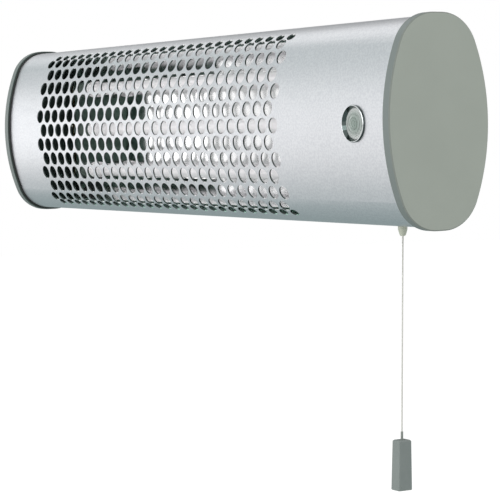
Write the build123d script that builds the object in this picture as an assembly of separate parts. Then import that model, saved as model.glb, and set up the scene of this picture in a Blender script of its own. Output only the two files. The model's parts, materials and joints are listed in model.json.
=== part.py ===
from build123d import *
from math import asin, atan2, cos, degrees, hypot, radians, sin, tan
import os

# Wall-mounted radiant heater: an oval casing of rolled sheet with a pierced front, three quartz
# lamps over a folded reflector, two end caps, an indicator lamp, a pull switch with its cord and
# handle, and a wall bracket on which the whole heater tilts.
# Millimetres. X runs along the heater, Y into the wall and Z up. The wall is the plane y = 0 and
# the origin is the middle of the wall bracket. Pieces of the heater are drawn about the centre of
# its oval section, front at -Y, and then placed on the pivot at the tilt it is shown with.

# Casing section: two long side arcs, four corner arcs and a short flat crown above and below
half_depth = 42.5
half_height = 75.0
side_radius = 150.0
crown_half_width = 3.8
sheet = 1.2

# Lengths along X: the lamps reach from one end room to the other
overall_length = 620.0
left_room = 66.0
switch_room = 142.5
cap_face = 3.0
cap_rim = 7.5
cap_proud = 2.2
cap_bevel = 0.8
spigot_length = 10.0
spigot_wall = 1.8
seal_width = 1.4
end_gap = 0.2

# Clearances, and how far a cutter runs past what it cuts
slip_gap = 0.15
hole_gap = 0.1
shaft_gap = 0.05
rest_gap = 0.1
overrun = 1.0

# Pierced front: each row's distance round the wall from the middle row, and its holes' length
# along X and width round the wall; the outer rows stand closer and their holes are flatter
hole_pitch = 15.0
row_arcs = (0.0, 13.2, 26.4, 39.6, 52.8, 64.4, 71.2)
hole_lengths = (12.2, 12.2, 12.2, 12.2, 12.2, 11.6, 10.0)
hole_widths = (12.2, 12.2, 12.2, 12.2, 10.8, 9.2, 7.0)

# Rear panel
panel_sheet = 1.0
back_opening_half = 46.0
panel_half_height = 52.0
panel_screw_height = 49.0
panel_screw_from_end = 75.0

# Lamps and reflector
tube_radius = 5.75
tube_wall = 1.0
tube_spacing = 37.5
socket_depth = 14.0
ceramic_length = 38.0
ceramic_radius = 7.25
coil_radius = 3.8
coil_wall = 0.9
pin_radius = 1.4
pin_stand_out = 8.0
reflector_sheet = 0.8
reflector_y = 17.0
reflector_flat_half = 45.0
wing_tip_y = -4.0
wing_tip_z = 65.0
reflector_from_pins = 0.75
bracket_sheet = 1.5
bracket_front = -10.0
bracket_past_coil = 28.25
bracket_foot = 14.0
post_radius = 3.5
post_z = 22.0

# Partition between the lamps and the switch compartment
shield_from_pins = 14.5
shield_sheet = 1.2
shield_foot = 12.0
shield_foot_half = 20.0
grommet_radius = 6.0
grommet_z = 22.0
grommet_y = 8.0

# Indicator lamp
control_from_end = 45.0
bezel_radius = 13.5
bezel_height = 1.2
bezel_round = 0.6
mouth_radius = 12.8
mouth_depth = 3.0
barrel_radius = 12.3
barrel_length = 12.0
lens_radius = 11.3
lens_rise = 2.0
lens_base = 1.4
rib_count = 4
rib_radius = 0.35
lamp_body_radius = 9.0
lamp_body_length = 22.0
lamp_nut_radius = 16.5
lamp_nut_height = 3.0
tab_length = 8.0
tab_width = 5.0
tab_sheet = 0.8
tab_spacing = 8.0

# Control plate
plate_front = 15.0
plate_sheet = 1.5
plate_from_shield = 14.0
plate_from_end = 20.0
plate_overhang = 8.0
plate_half_height = 34.0

# Pull switch
switch_half_width = 22.0
switch_above_casing = 9.0
switch_height = 44.0
switch_front = -13.0
switch_wall = 2.0
cover_sheet = 2.0
lever_reach = 16.0
lever_angle = 14.3
lever_half_height = 2.0
lever_half_width = 3.0
lever_hub_radius = 4.0
lever_above_bottom = 16.0
lever_slot_half = 1.3
pin_of_lever_radius = 1.5
ferrule_radius = 2.4
ferrule_length = 5.0
spring_outer = 2.6
spring_inner = 1.8
spring_from_pin = 8.5
rotor_x = 13.0
rotor_above_bottom = 34.0
rotor_radius = 6.0
rotor_notch_radius = 1.3
rotor_notches = 4
contact_sheet = 0.8
contact_width = 6.0
contact_height = 12.0
contact_count = 3
contact_pitch = 8.0

# Cord nipple under the casing
nipple_radius = 3.5
nipple_tip_radius = 2.3
nipple_length = 7.3
nipple_edge = 0.7
nipple_collar = 2.4
nipple_shank_radius = 2.6
nipple_bore_radius = 1.5
nipple_nut_radius = 4.8
nipple_nut_height = 2.5
nipple_shank_above = 2.8

# Cord and handle
cord_radius = 0.6
cord_length = 149.5
cord_in_handle = 9.5
cord_top_gap = 0.3
cord_top_bevel = 0.35
sleeve_radius = 0.95
sleeve_length = 6.0
handle_length = 37.0
handle_top = (8.8, 11.0)
handle_bottom = (9.7, 12.1)
handle_corner = 0.5
handle_bevel = 0.8

# Terminals and cable inlet
block_inset = 5.0
block_length = 36.0
block_depth = 13.0
block_bottom = 4.0
block_height = 16.0
terminal_count = 3
terminal_radius = 2.2
terminal_height = 2.0
earth_inset = 16.0
earth_z = -22.0
earth_radius = 2.0
earth_stand = 9.0
earth_nut_radius = 3.8
earth_nut_height = 3.0
gland_inset = 36.0
gland_thread_radius = 8.0
gland_bore_radius = 4.2
gland_hex_radius = 11.0
gland_hex_length = 6.0
gland_dome_radius = 9.5
gland_dome_length = 12.0
gland_dome_round = 4.3
gland_inside = 8.0
gland_nut_height = 4.5

# Leads inside the casing
lead_radius = 1.0
lead_bend = 2.5
lead_past_pins = 6.5
lead_past_shield = 7.0
lead_run_past_shield = 17.0
lead_run_to_control = 15.0
lead_run_y = -6.0
lead_run_z = -2.0
lead_spread = 4.6
lead_above_contact = 5.0
link_sheet = 1.0
link_half_width = 4.0
return_y = 28.0
return_offset = 6.0
return_bend = 3.0
lead_in_terminal = 2.0

# Screws
screw_head_radius = 3.2
screw_head_height = 2.0
screw_head_round = 1.2
screw_slot_width = 0.5
screw_slot_depth = 1.0
screw_radius = 1.6
panel_screw_length = 7.0
cap_screw_length = 13.0
boss_width = 11.0
boss_depth = 14.0
boss_height = 11.0
boss_z = 34.0
boss_from_face = 9.0

# Wall bracket and pivot
wall_gap = 26.0
pivot_reach = 20.0
rest_tilt = 1.5
ear_sheet = 2.5
ear_radius = 9.0
ear_root_half = 18.0
ear_inner_x = 151.5
washer_thickness = 0.8
washer_radius = 7.0
arm_sheet = 2.5
arm_root_half = 17.0
arm_foot = 16.0
arm_foot_half = 17.0
arm_foot_sheet = 2.0
pivot_radius = 3.0
pivot_head_radius = 6.0
pivot_head_height = 4.0
pivot_head_round = 2.0
pivot_nut_height = 5.0
wall_plate_sheet = 2.5
wall_plate_half_height = 24.0
wall_hole_spacing = 260.0
wall_hole_radius = 2.75
wall_window_half_length = 90.0
wall_window_half_height = 10.0
wall_window_corner = 5.0

# Sizes that follow from the ones above
lamps_centre_x = (left_room - switch_room) / 2
lamps_half_reach = (overall_length - left_room - switch_room) / 2
lit_half_length = lamps_half_reach - ceramic_length - pin_stand_out
holes_per_row = int(2 * lamps_half_reach / hole_pitch)
lamps_right_x = lamps_centre_x + lamps_half_reach
lamps_left_x = lamps_centre_x - lamps_half_reach
bracket_from_centre = lit_half_length + bracket_past_coil
reflector_half_length = lamps_half_reach - reflector_from_pins
shield_x = lamps_right_x + shield_from_pins
control_x = overall_length / 2 - control_from_end
plate_left = shield_x + plate_from_shield
plate_right = overall_length / 2 - plate_from_end
block_left = plate_left + block_inset
earth_x = plate_left + earth_inset
gland_x = plate_left + gland_inset
panel_screw_x = overall_length / 2 - panel_screw_from_end
switch_bottom = switch_above_casing - half_height
switch_top = switch_bottom + switch_height
lever_z = switch_bottom + lever_above_bottom
rotor_z = switch_bottom + rotor_above_bottom
front_centre = side_radius - half_depth
corner_reach = front_centre + crown_half_width
corner_radius = (side_radius**2 - corner_reach**2 - half_height**2) / (2 * (side_radius - half_height))
corner_z = half_height - corner_radius
side_angle = degrees(atan2(corner_z, corner_reach))
side_arc = side_radius * radians(side_angle)
shell_half = overall_length / 2 - cap_face - end_gap
panel_outer = -(sheet + slip_gap)
panel_inner = panel_outer - panel_sheet
panel_back = half_depth + panel_outer
panel_front = half_depth + panel_inner
centre_to_pivot = half_depth + pivot_reach
spigot_outer = -(sheet + slip_gap)
drill_length = 4 * (sheet + slip_gap + panel_sheet)
lens_bottom = bezel_height - mouth_depth - lens_base
nipple_tip_z = -half_height - nipple_length
lever_pin_x = control_x - lever_reach * cos(radians(lever_angle))
lever_tip_z = lever_z + lever_reach * sin(radians(lever_angle))
ferrule_base_z = (
    lever_tip_z
    + lever_half_height / cos(radians(lever_angle))
    + ferrule_radius * tan(radians(lever_angle))
    + rest_gap
)
tube_heights = {"upper": tube_spacing, "middle": 0.0, "lower": -tube_spacing}


def oval(grow):
    """The casing's outline as a face, its walls moved outwards by grow."""
    side = side_radius + grow
    corner = corner_radius + grow
    top = half_height + grow
    turn = 90 - side_angle
    edges = [
        CenterArc((front_centre, 0), side, 180 - side_angle, 2 * side_angle),
        CenterArc((-front_centre, 0), side, -side_angle, 2 * side_angle),
        CenterArc((-crown_half_width, corner_z), corner, 90, turn),
        CenterArc((crown_half_width, corner_z), corner, side_angle, turn),
        CenterArc((-crown_half_width, -corner_z), corner, 180 + side_angle, turn),
        CenterArc((crown_half_width, -corner_z), corner, -90, turn),
        Line((-crown_half_width, top), (crown_half_width, top)),
        Line((-crown_half_width, -top), (crown_half_width, -top)),
    ]
    return make_face(edges)


def oval_block(grow, x_from, x_to):
    """A solid of the oval section between two places along X."""
    return extrude(Plane.YZ.offset(x_from) * oval(grow), x_to - x_from)


def oval_ring(outer, inner, x_from, x_to):
    """A tube of the oval section."""
    return oval_block(outer, x_from, x_to) - oval_block(inner, x_from, x_to)


def box(x_from, x_to, y_from, y_to, z_from, z_to):
    """A box given by its two corners."""
    middle = Pos((x_from + x_to) / 2, (y_from + y_to) / 2, (z_from + z_to) / 2)
    return middle * Box(x_to - x_from, y_to - y_from, z_to - z_from)


def rod_x(radius, x_from, x_to, y, z):
    """A round bar along X."""
    return Pos((x_from + x_to) / 2, y, z) * Rot(0, 90, 0) * Cylinder(radius, x_to - x_from)


def rod_y(radius, x, y_from, y_to, z):
    """A round bar along Y."""
    return Pos(x, (y_from + y_to) / 2, z) * Rot(90, 0, 0) * Cylinder(radius, y_to - y_from)


def rod_z(radius, x, y, z_from, z_to):
    """A round bar along Z."""
    return Pos(x, y, (z_from + z_to) / 2) * Cylinder(radius, z_to - z_from)


def group(pieces):
    """Several separate solids as one node."""
    return Compound(children=[solid for piece in pieces for solid in piece.solids()])


def strip(points, thickness):
    """A bent sheet's section: the path and its copy moved to the left by the thickness."""
    normals = []
    for (ax, ay), (bx, by) in zip(points, points[1:]):
        run = hypot(bx - ax, by - ay)
        normals.append(((ay - by) / run, (bx - ax) / run))
    before = [normals[0]] + normals
    after = normals + [normals[-1]]
    moved = []
    for (x, y), (ax, ay), (bx, by) in zip(points, before, after):
        share = thickness / (1 + ax * bx + ay * by)
        moved.append((x + share * (ax + bx), y + share * (ay + by)))
    return make_face(Polyline(*points, *reversed(moved), close=True))


def wall_place(arc_length):
    """Place and upward slope of the outward normal on the front wall, at a distance round it."""
    way = 1 if arc_length >= 0 else -1
    along = abs(arc_length)
    if along <= side_arc:
        slope = along / side_radius
        y = front_centre - side_radius * cos(slope)
        z = side_radius * sin(slope)
    else:
        slope = radians(side_angle) + (along - side_arc) / corner_radius
        y = -crown_half_width - corner_radius * cos(slope)
        z = corner_z + corner_radius * sin(slope)
    return y, way * z, way * slope


def front_plane(x, arc_length, grow=0.0):
    """A plane on the casing's front wall, its Z pointing out of the wall."""
    y, z, slope = wall_place(arc_length)
    outward = (0, -cos(slope), sin(slope))
    origin = (x, y + grow * outward[1], z + grow * outward[2])
    return Plane(origin=origin, x_dir=(1, 0, 0), z_dir=outward)


def back_plane(x, z, grow=0.0):
    """A plane on the casing's back wall at a height, its Z pointing out of the wall."""
    slope = asin(z / side_radius)
    outward = (0, cos(slope), sin(slope))
    y = side_radius * cos(slope) - front_centre
    origin = (x, y + grow * outward[1], z + grow * outward[2])
    return Plane(origin=origin, x_dir=(1, 0, 0), z_dir=outward)


def screw(head_radius, head_height, shank_radius, shank_length):
    """A round-headed screw with a cross slot, its seat at the origin and its head up Z."""
    head = Pos(0, 0, head_height / 2) * Cylinder(head_radius, head_height)
    head = fillet(head.faces().sort_by(Axis.Z)[-1].edges(), screw_head_round)
    slot = Box(head_radius, screw_slot_width, 2 * screw_slot_depth)
    slot += Box(screw_slot_width, head_radius, 2 * screw_slot_depth)
    shank = Pos(0, 0, -shank_length / 2) * Cylinder(shank_radius, shank_length)
    return head + shank - Pos(0, 0, head_height) * slot


def hexagon_nut(radius, height, bore_radius):
    """A hexagonal nut standing on the XY plane."""
    return extrude(RegularPolygon(radius, 6) - Circle(bore_radius), height)


def perforations():
    """Cutters for the staggered rows of holes."""
    first_x = lamps_centre_x - (holes_per_row - 1) * hole_pitch / 2 - hole_pitch / 4
    cutters = []
    for row, (arc_length, length, width) in enumerate(zip(row_arcs, hole_lengths, hole_widths)):
        shift = 0 if row % 2 else hole_pitch / 2
        hole = Ellipse(length / 2, width / 2) if length > width else Circle(length / 2)
        cutter = Pos(0, 0, -drill_length / 2) * extrude(hole, drill_length)
        for way in (-1, 1) if row else (1,):
            for number in range(holes_per_row):
                place = front_plane(first_x + shift + number * hole_pitch, way * arc_length)
                cutters.append(place * cutter)
    return cutters


def panel_screw_planes():
    """Where the rear panel's screws stand."""
    heights = (-panel_screw_height, panel_screw_height)
    return [back_plane(x, z) for x in (-panel_screw_x, 0, panel_screw_x) for z in heights]


def screw_holes(planes):
    """Cutters for clear holes under screws."""
    return [plane * Cylinder(screw_radius + hole_gap, drill_length) for plane in planes]


def front_shell():
    shell = oval_ring(0, -sheet, -shell_half, shell_half)
    shell -= box(-shell_half, shell_half, 0, half_depth, -back_opening_half, back_opening_half)
    lamp_hole = front_plane(control_x, 0) * Cylinder(barrel_radius + hole_gap, drill_length)
    nipple_hole = Pos(control_x, 0, -half_height) * Cylinder(nipple_shank_radius + hole_gap, drill_length)
    return shell - perforations() - lamp_hole - nipple_hole - screw_holes(panel_screw_planes())


def rear_panel():
    panel = oval_ring(panel_outer, panel_inner, -shell_half, shell_half)
    panel &= box(-shell_half, shell_half, 0, half_depth, -panel_half_height, panel_half_height)
    arm_holes = screw_holes(arm_screw_planes())
    holes = screw_holes(panel_screw_planes() + cap_screw_planes()) + arm_holes
    holes += [mirror(hole, Plane.YZ) for hole in arm_holes]
    holes.append(rod_y(gland_thread_radius + hole_gap, gland_x, 0, half_depth, 0))
    return panel - holes


def panel_screws():
    piece = screw(screw_head_radius, screw_head_height, screw_radius, panel_screw_length)
    return group([plane * piece for plane in panel_screw_planes()])


def cap_screw_planes():
    """Where the screws of the end caps stand on the rear panel."""
    x = overall_length / 2 - cap_face - boss_from_face
    return [back_plane(way * x, z, panel_outer) for way in (-1, 1) for z in (-boss_z, boss_z)]


def cap_screws():
    piece = screw(screw_head_radius, screw_head_height, screw_radius, cap_screw_length)
    return group([plane * piece for plane in cap_screw_planes()])


def cap_bosses():
    """The two screw bosses inside the right end cap."""
    face_x = overall_length / 2 - cap_face
    centre_x = face_x - boss_from_face
    inside = oval_block(panel_inner - rest_gap, face_x - 2 * boss_from_face, face_x)
    bosses = Part()
    for z in (-boss_z, boss_z):
        bosses += box(
            centre_x - boss_width / 2,
            face_x,
            panel_front - boss_depth,
            half_depth,
            z - boss_height / 2,
            z + boss_height / 2,
        )
    return bosses & inside


def right_end_cap():
    end_x = overall_length / 2
    face_x = end_x - cap_face
    face = oval_block(cap_proud, face_x, end_x)
    face = chamfer(face.faces().sort_by(Axis.X)[-1].edges(), cap_bevel)
    rim = oval_ring(cap_proud, slip_gap, end_x - cap_rim, face_x)
    spigot = oval_ring(spigot_outer, spigot_outer - spigot_wall, face_x - spigot_length, face_x)
    panel_room = panel_half_height + 2 * slip_gap
    spigot -= box(face_x - spigot_length, face_x, 0, half_depth, -panel_room, panel_room)
    drill = Cylinder(screw_radius + shaft_gap, 2 * (cap_screw_length + overrun))
    return face + rim + spigot + cap_bosses() - [plane * drill for plane in cap_screw_planes()]


def left_end_cap():
    return mirror(right_end_cap(), Plane.YZ)


def right_cap_seal():
    """The rubber ring against the open edge of the right cap's rim."""
    rim_x = overall_length / 2 - cap_rim
    return oval_ring(cap_proud / 2, slip_gap, rim_x - seal_width, rim_x)


def left_cap_seal():
    return mirror(right_cap_seal(), Plane.YZ)


def reflector():
    path = [
        (wing_tip_y, wing_tip_z),
        (reflector_y, reflector_flat_half),
        (reflector_y, -reflector_flat_half),
        (wing_tip_y, -wing_tip_z),
    ]
    section = Plane.YZ.offset(lamps_centre_x - reflector_half_length) * strip(path, reflector_sheet)
    sheet_metal = extrude(section, 2 * reflector_half_length)
    return sheet_metal - post_rods(screw_radius + hole_gap, 0, half_depth)


def post_places():
    """X and Z of the posts that carry the reflector and the lamp brackets."""
    reach = bracket_from_centre + bracket_foot / 2
    return [(lamps_centre_x + way * reach, z) for way in (-1, 1) for z in (-post_z, post_z)]


def post_rods(radius, y_from, y_to):
    """A bar along Y at each post."""
    return [rod_y(radius, x, y_from, y_to, z) for x, z in post_places()]


def reflector_posts():
    start = reflector_y + reflector_sheet
    inside = oval_block(panel_inner, -shell_half, shell_half)
    bars = [bar & inside for bar in post_rods(post_radius, start, half_depth)]
    threads = post_rods(screw_radius + shaft_gap, 0, start + panel_screw_length)
    return group([bar - thread for bar, thread in zip(bars, threads)])


def lamp_bracket():
    """The right lamp bracket: an upright with three holes and a foot on the reflector."""
    x = lamps_centre_x + bracket_from_centre
    half = reflector_flat_half
    upright = box(x, x + bracket_sheet, bracket_front, reflector_y, -half, half)
    foot = box(x, x + bracket_foot, reflector_y - bracket_sheet, reflector_y, -half, half)
    ends = (x - overrun, x + bracket_sheet + overrun)
    holes = [rod_x(ceramic_radius + hole_gap, *ends, 0, z) for z in tube_heights.values()]
    holes += post_rods(screw_radius + hole_gap, 0, half_depth)
    return upright + foot - holes


def mirror_lamp_end(piece):
    """The same piece at the other end of the lamps."""
    return mirror(piece, Plane.YZ.offset(lamps_centre_x))


def bracket_screws():
    piece = screw(screw_head_radius, screw_head_height, screw_radius, panel_screw_length)
    seat = Plane(origin=(0, 0, 0), x_dir=(1, 0, 0), z_dir=(0, -1, 0))
    places = [Pos(x, reflector_y - bracket_sheet, z) for x, z in post_places()]
    return group([place * (seat * piece) for place in places])


def quartz_tube(z):
    reach = lit_half_length + socket_depth
    ends = (lamps_centre_x - reach, lamps_centre_x + reach)
    return rod_x(tube_radius, *ends, 0, z) - rod_x(tube_radius - tube_wall, *ends, 0, z)


def heating_coil(z):
    """The space of the wound heating wire, which the milky quartz hides."""
    ends = (lamps_centre_x - lit_half_length, lamps_centre_x + lit_half_length)
    return rod_x(coil_radius, *ends, 0, z) - rod_x(coil_radius - coil_wall, *ends, 0, z)


def ceramic_caps():
    """The ceramic ends of the three tubes at the right."""
    start = lamps_centre_x + lit_half_length
    caps = []
    for z in tube_heights.values():
        cap = rod_x(ceramic_radius, start, start + ceramic_length, 0, z)
        cap -= rod_x(tube_radius + shaft_gap, start, start + socket_depth, 0, z)
        cap -= rod_x(pin_radius + shaft_gap, start, start + ceramic_length, 0, z)
        caps.append(cap)
    return group(caps)


def tube_pins():
    """The pins that end the heating wires, at both ends."""
    pins = []
    for z in tube_heights.values():
        start = lamps_centre_x + lit_half_length
        pin = rod_x(pin_radius, start, start + ceramic_length + pin_stand_out, 0, z)
        pin += rod_x(coil_radius - coil_wall - shaft_gap, start - coil_radius, start, 0, z)
        pins += [pin, mirror_lamp_end(pin)]
    return group(pins)


def heat_shield():
    """The partition, with a foot on the rear panel and a hole for each run of leads."""
    edge = panel_inner - rest_gap
    foot_end = shield_x + shield_foot
    plate = oval_block(edge, shield_x, shield_x + shield_sheet)
    foot = oval_ring(edge, edge - shield_sheet, shield_x, foot_end)
    foot &= box(shield_x, foot_end, 0, half_depth, -shield_foot_half, shield_foot_half)
    ends = (shield_x - overrun, shield_x + shield_sheet + overrun)
    hole = rod_x(grommet_radius, *ends, grommet_y, grommet_z)
    return_hole = rod_x(2 * lead_radius, *ends, return_y, 0)
    return plate + foot - hole - return_hole


def lamp_bezel():
    """A thin ring with a sloping mouth, and its barrel through the casing's wall."""
    flange = rod_z(bezel_radius, 0, 0, 0, bezel_height)
    flange = fillet(flange.faces().sort_by(Axis.Z)[-1].edges(), bezel_round)
    barrel = rod_z(barrel_radius, 0, 0, -barrel_length, 0)
    seat_radius = lens_radius + shaft_gap
    mouth = Pos(0, 0, bezel_height - mouth_depth / 2) * Cone(seat_radius, mouth_radius, mouth_depth)
    seat = rod_z(seat_radius, 0, 0, lens_bottom, bezel_height - mouth_depth)
    bore = rod_z(lamp_body_radius + shaft_gap, 0, 0, -barrel_length - overrun, lens_bottom)
    return front_plane(control_x, 0, rest_gap) * (flange + barrel - mouth - seat - bore)


def lamp_lens():
    """A clear domed lens with concentric grooves on its face."""
    dome_radius = (lens_radius**2 + lens_rise**2) / (2 * lens_rise)
    dome_z = lens_base + lens_rise - dome_radius
    lens = rod_z(lens_radius, 0, 0, 0, lens_base + lens_rise) & Pos(0, 0, dome_z) * Sphere(dome_radius)
    for number in range(1, rib_count + 1):
        radius = lens_radius * number / (rib_count + 1)
        lens -= Pos(0, 0, dome_z + (dome_radius**2 - radius**2) ** 0.5) * Torus(radius, rib_radius)
    return front_plane(control_x, 0, rest_gap + lens_bottom) * lens


def lamp_body():
    body = rod_z(lamp_body_radius, 0, 0, lens_bottom - rest_gap - lamp_body_length, lens_bottom - rest_gap)
    return front_plane(control_x, 0, rest_gap) * body


def lamp_nut():
    piece = hexagon_nut(lamp_nut_radius, lamp_nut_height, barrel_radius + shaft_gap)
    hollow = lamp_nut_radius**2 / (2 * side_radius)
    return front_plane(control_x, 0, -sheet - hollow - rest_gap - lamp_nut_height) * piece


def lamp_tabs():
    start = lens_bottom - rest_gap - lamp_body_length
    tab = Pos(0, 0, start - tab_length / 2) * Box(tab_sheet, tab_width, tab_length)
    plane = front_plane(control_x, 0, rest_gap)
    return group([plane * Pos(way * tab_spacing / 2, 0, 0) * tab for way in (-1, 1)])


def control_plate():
    """A bridge over the rear panel that carries the switch and the terminals."""
    back = plate_front + plate_sheet
    web = box(plate_left, plate_right, plate_front, back, switch_bottom, plate_half_height)
    legs = Part()
    for x in (plate_left, plate_right - plate_overhang - plate_sheet):
        legs += box(x, x + plate_sheet, plate_front, half_depth, -plate_half_height, plate_half_height)
    inside = oval_block(panel_inner - rest_gap, 0, shell_half)
    return (web + legs) & inside


def switch_housing():
    left = control_x - switch_half_width
    right = control_x + switch_half_width
    housing = box(left, right, switch_front, plate_front, switch_bottom, switch_top)
    housing -= box(
        left + switch_wall,
        right - switch_wall,
        switch_front,
        plate_front - switch_wall,
        switch_bottom + switch_wall,
        switch_top - switch_wall,
    )
    floor_ends = (switch_bottom - overrun, switch_bottom + switch_wall + overrun)
    housing -= rod_z(nipple_bore_radius, control_x, 0, *floor_ends)
    for x, z, radius in switch_pins():
        housing -= rod_y(radius + shaft_gap, x, switch_front, plate_front - switch_wall / 2, z)
    return housing


def switch_cover():
    left = control_x - switch_half_width
    right = control_x + switch_half_width
    return box(left, right, switch_front - cover_sheet, switch_front, switch_bottom, switch_top)


def switch_pins():
    """X, Z and radius of the switch's two pins."""
    return [
        (lever_pin_x, lever_z, pin_of_lever_radius),
        (control_x + rotor_x, rotor_z, pin_of_lever_radius),
    ]


def switch_pin(number):
    x, z, radius = switch_pins()[number]
    return rod_y(radius, x, switch_front + rest_gap, plate_front - switch_wall / 2 - rest_gap, z)


def switch_lever():
    """A lever on its pin, forked round the cord at its free end."""
    x, z, radius = switch_pins()[0]
    tip = lever_reach + lever_half_width
    arm = box(0, tip, -lever_half_width, lever_half_width, -lever_half_height, lever_half_height)
    slot = box(
        lever_reach - lever_half_width,
        lever_reach + 2 * lever_half_width,
        -lever_slot_half,
        lever_slot_half,
        -2 * lever_half_height,
        2 * lever_half_height,
    )
    hub = rod_y(lever_hub_radius, 0, -lever_half_width, lever_half_width, 0)
    bore = rod_y(radius + shaft_gap, 0, -2 * lever_half_width, 2 * lever_half_width, 0)
    return Pos(x, 0, z) * Rot(0, -lever_angle, 0) * (arm - slot + hub - bore)


def return_spring():
    """The space of the small coil spring between the lever and the floor of the switch."""
    x = lever_pin_x + spring_from_pin
    tilt = radians(lever_angle)
    under = lever_z + (spring_from_pin - spring_outer) * tan(tilt) - lever_half_height / cos(tilt)
    floor = switch_bottom + switch_wall
    top = under - rest_gap
    return rod_z(spring_outer, x, 0, floor, top) - rod_z(spring_inner, x, 0, floor, top)


def switch_rotor():
    """A notched drum that makes the contacts."""
    x, z, radius = switch_pins()[1]
    width = lever_half_width + switch_wall
    drum = rod_y(rotor_radius, 0, -width, width, 0)
    step = 360 / rotor_notches
    for number in range(rotor_notches):
        notch = rod_y(rotor_notch_radius, rotor_radius, -2 * width, 2 * width, 0)
        drum -= Rot(0, step * (number + 0.5), 0) * notch
    drum -= rod_y(radius + shaft_gap, 0, -2 * width, 2 * width, 0)
    return Pos(x, 0, z) * drum


def contact_x(number):
    return control_x + (number - (contact_count - 1) / 2) * contact_pitch


def switch_contacts():
    """Spade contacts that stand out of the switch's top."""
    tabs = []
    for number in range(contact_count):
        x = contact_x(number)
        middle = Pos(x, 0, switch_top + contact_height / 2)
        tabs.append(middle * Box(contact_sheet, contact_width, contact_height))
    return group(tabs)


def cord_nipple():
    """The bush that guides the cord through the underside of the casing."""
    profile = Polyline(
        (nipple_bore_radius, nipple_tip_z),
        (nipple_tip_radius - nipple_edge, nipple_tip_z),
        (nipple_tip_radius, nipple_tip_z + nipple_edge),
        (nipple_radius, -half_height - nipple_collar),
        (nipple_radius, -half_height),
        (nipple_shank_radius, -half_height),
        (nipple_shank_radius, -half_height + sheet + nipple_shank_above),
        (nipple_bore_radius, -half_height + sheet + nipple_shank_above),
        close=True,
    )
    body = revolve(Plane.XZ * make_face(profile), Axis.Z)
    return Pos(control_x, 0, 0) * body


def nipple_nut():
    piece = hexagon_nut(nipple_nut_radius, nipple_nut_height, nipple_shank_radius + shaft_gap)
    return Pos(control_x, 0, -half_height + sheet) * piece


def cord_ferrule():
    """The crimp that rests on the lever and carries the cord."""
    body = rod_z(ferrule_radius, control_x, 0, ferrule_base_z, ferrule_base_z + ferrule_length)
    return body - rod_z(cord_radius, control_x, 0, ferrule_base_z, ferrule_base_z + ferrule_length)


def cord_tail():
    """The cord inside the casing, from the ferrule to the nipple's mouth."""
    end = nipple_tip_z + cord_top_gap
    return rod_z(cord_radius, control_x, 0, end, ferrule_base_z + ferrule_length)


def terminal_block():
    top = block_bottom + block_height
    front = plate_front - block_depth
    middle = plate_front - block_depth / 2
    block = box(block_left, block_left + block_length, front, plate_front, block_bottom, top)
    for x in terminal_xs():
        block -= rod_z(terminal_radius, x, middle, block_bottom - overrun, top + overrun)
        block -= rod_y(terminal_radius, x, front - overrun, middle, (block_bottom + top) / 2)
    return block


def terminal_xs():
    pitch = block_length / terminal_count
    return [block_left + pitch * (number + 0.5) for number in range(terminal_count)]


def terminal_screws():
    z = block_bottom + block_height / 2
    front = plate_front - block_depth
    seat = Plane(origin=(0, 0, 0), x_dir=(1, 0, 0), z_dir=(0, -1, 0))
    shank_length = block_depth / 2 - terminal_height
    piece = screw(terminal_radius - shaft_gap, terminal_height, screw_radius, shank_length)
    return group([Pos(x, front + terminal_height, z) * (seat * piece) for x in terminal_xs()])


def wire(points, bend):
    """A round insulated lead along straight runs with rounded bends."""
    path = FilletPolyline(*points, radius=bend)
    return sweep(Plane(origin=path @ 0, z_dir=path % 0) * Circle(lead_radius), path=path)


def element_leads():
    """The three leads from the tubes' right ends through the partition to the switch."""
    drop_x = lamps_right_x + lead_past_pins
    run_x = shield_x + lead_run_past_shield
    leads = []
    for number, z in enumerate(tube_heights.values()):
        step = (number - 1) * lead_spread / 2
        through = (grommet_y + step, grommet_z)
        contact = contact_x(number)
        points = [
            (lamps_right_x, 0, z),
            (drop_x, 0, z),
            (drop_x, *through),
            (shield_x + lead_past_shield, *through),
            (run_x, lead_run_y + step, lead_run_z),
            (control_x - lead_run_to_control, lead_run_y + step, lead_run_z),
            (contact, 0, switch_top + contact_height + lead_above_contact),
            (contact, 0, switch_top + contact_height),
        ]
        leads.append(wire(points, lead_bend))
    return group(leads)


def link_bar():
    """The strip that joins the tubes' left pins."""
    reach = tube_spacing + link_half_width
    inner_x = lamps_left_x + link_sheet
    bar = box(lamps_left_x, inner_x, -link_half_width, link_half_width, -reach, reach)
    ends = (lamps_left_x - overrun, inner_x + overrun)
    holes = [rod_x(pin_radius + shaft_gap, *ends, 0, z) for z in tube_heights.values()]
    return bar - holes


def return_lead():
    """The lead from the link bar behind the reflector back to the terminals."""
    top = block_bottom + block_height
    end_x = terminal_xs()[0]
    over_leg = plate_half_height + 4 * lead_radius
    out_x = lamps_left_x - 2 * return_offset
    rise_x = plate_left - return_offset
    points = [
        (lamps_left_x, 0, link_half_width),
        (out_x, 0, link_half_width),
        (out_x, return_y, 0),
        (rise_x, return_y, 0),
        (rise_x, return_y, over_leg),
        (end_x, plate_front - block_depth / 2, over_leg),
        (end_x, plate_front - block_depth / 2, top - lead_in_terminal),
    ]
    return wire(points, return_bend)


def earth_stud():
    """A brass stud with its nut on the control plate."""
    start = plate_front - earth_stand
    stud = rod_y(earth_radius, earth_x, start, plate_front, earth_z)
    seat = Plane(origin=(earth_x, plate_front, earth_z), x_dir=(1, 0, 0), z_dir=(0, -1, 0))
    nut = seat * hexagon_nut(earth_nut_radius, earth_nut_height, earth_radius)
    return stud + nut


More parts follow.
